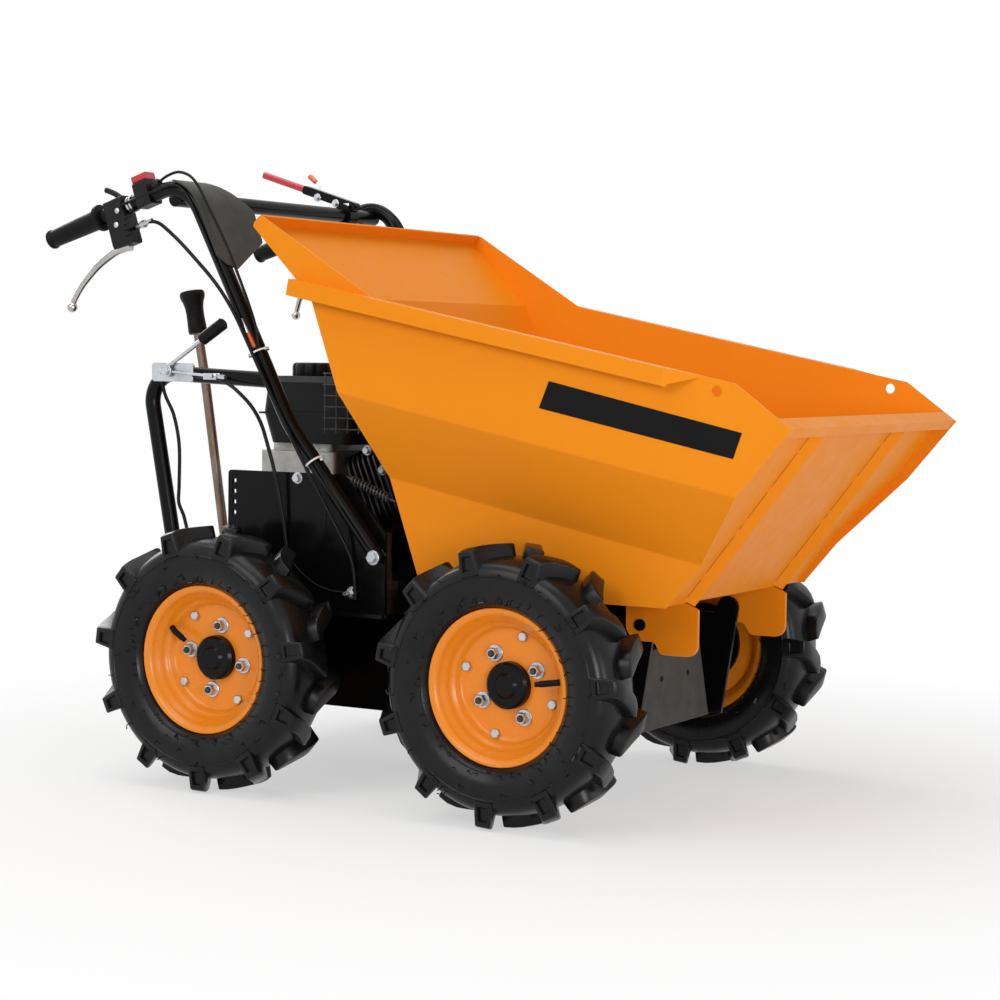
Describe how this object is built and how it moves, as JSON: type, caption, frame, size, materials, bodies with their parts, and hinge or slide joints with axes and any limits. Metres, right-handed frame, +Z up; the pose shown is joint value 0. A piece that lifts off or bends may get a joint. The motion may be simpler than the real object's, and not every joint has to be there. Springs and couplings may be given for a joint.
{
  "type": "walk-behind mini dumper",
  "caption": "Walk-behind wheeled mini dumper with a forward-tipping steel skip, a petrol engine behind it and a handlebar with hand controls.",
  "frame": {"origin": "on the ground, midway between the skip's lip and the grip ends, on the centre plane", "axes": "+X forward towards the skip's lip, +Y to the machine's left, +Z up"},
  "size_m": [1.351, 0.771, 1.0102],
  "materials": {
    "skip_paint": "semi-gloss orange-yellow powder coat",
    "rim_paint": "semi-gloss orange paint",
    "black_paint": "gloss black powder coat",
    "grey_plate": "satin dark grey paint",
    "tyre": "satin black rubber",
    "rubber": "matte black rubber",
    "black_plastic": "satin black plastic",
    "red_plastic": "glossy red",
    "engine_alloy": "cast alloy",
    "steel": "zinc-plated steel",
    "worn_steel": "oiled bare steel",
    "chrome": "polished chrome"
  },
  "bodies": {
    "chassis": {"air_cleaner": "black_plastic", "chassis_pan": "black_paint", "chassis_sides": "black_paint", "control_cables": "rubber", "engine_case": "engine_alloy", "engine_cylinder": "engine_alloy", "engine_deck": "black_paint", "engine_guards": "black_paint", "front_axle": "black_paint", "front_plate": "grey_plate", "fuel_cap": "black_plastic", "fuel_tank": "black_plastic", "gear_knob": "black_plastic", "gear_lever": "worn_steel", "gearbox": "black_paint", "grips": "rubber", "hand_levers": "chrome", "handle_cross_bar": "black_paint", "handle_left": "black_paint", "handle_right": "black_paint", "handle_shroud": "grey_plate", "lever_perches": "black_plastic", "lock_grip": "rubber", "lock_lever": "steel", "lock_plate": "steel", "muffler": "steel", "pivot_pins": "steel", "rear_axle": "black_paint", "rear_hoop_left": "black_paint", "rear_hoop_right": "black_paint", "recoil_cover": "black_plastic", "skip_rest": "black_paint", "stop_switch": "red_plastic", "switch_box": "black_plastic", "tank_stand": "engine_alloy", "tip_lever": "black_paint", "tip_lever_grip": "red_plastic"},
    "skip": {"hinge_brackets": "skip_paint", "skip_floor": "skip_paint", "skip_front": "skip_paint", "skip_guard": "skip_paint", "skip_lip": "skip_paint", "skip_rear": "skip_paint", "skip_ribs": "skip_paint", "skip_side_left": "skip_paint", "skip_side_right": "skip_paint"},
    "wheel_front_right": {"tyre_front_right": "tyre", "rim_front_right": "rim_paint", "hub_front_right": "black_paint"},
    "wheel_front_left": {"tyre_front_left": "tyre", "rim_front_left": "rim_paint", "hub_front_left": "black_paint"},
    "wheel_rear_right": {"tyre_rear_right": "tyre", "rim_rear_right": "rim_paint", "hub_rear_right": "black_paint"},
    "wheel_rear_left": {"tyre_rear_left": "tyre", "rim_rear_left": "rim_paint", "hub_rear_left": "black_paint"}
  },
  "joints": [
    {"name": "skip_tip", "type": "hinge", "parent": "chassis", "child": "skip", "pos_m": [0.367, 0, 0.289], "axis": [0, 1, 0], "range_deg": [0, 75]},
    {"name": "wheel_front_right_spin", "type": "hinge", "parent": "chassis", "child": "wheel_front_right", "pos_m": [0.2415, -0.331, 0.2075], "axis": [0, 1, 0], "continuous": true},
    {"name": "wheel_front_left_spin", "type": "hinge", "parent": "chassis", "child": "wheel_front_left", "pos_m": [0.2415, 0.331, 0.2075], "axis": [0, 1, 0], "continuous": true},
    {"name": "wheel_rear_right_spin", "type": "hinge", "parent": "chassis", "child": "wheel_rear_right", "pos_m": [-0.291, -0.331, 0.2075], "axis": [0, 1, 0], "continuous": true},
    {"name": "wheel_rear_left_spin", "type": "hinge", "parent": "chassis", "child": "wheel_rear_left", "pos_m": [-0.291, 0.331, 0.2075], "axis": [0, 1, 0], "continuous": true}
  ]
}
